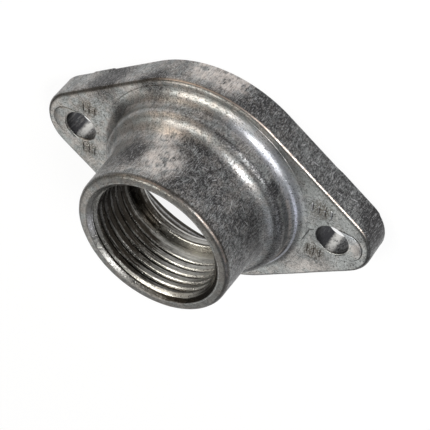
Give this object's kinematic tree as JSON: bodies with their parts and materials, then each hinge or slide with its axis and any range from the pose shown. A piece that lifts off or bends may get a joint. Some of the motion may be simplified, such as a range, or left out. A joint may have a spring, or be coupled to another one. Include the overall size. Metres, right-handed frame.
{
  "type": "conduit hub",
  "caption": "Cast conduit hub: diamond flange with screw holes, round collar and threaded nozzle that brings a conduit's wires through an enclosure wall.",
  "frame": {"origin": "on the bore axis, in the plane of the flange's back rim", "axes": "+Z along the bore out of the threaded mouth, +X along the line of the screw holes"},
  "size_m": [0.087, 0.0584, 0.031],
  "materials": {
    "cast_metal": "as cast, tumbled, dull grey with dark mottling"
  },
  "bodies": {
    "root": {"hub_casting": "cast_metal"}
  },
  "joints": []
}
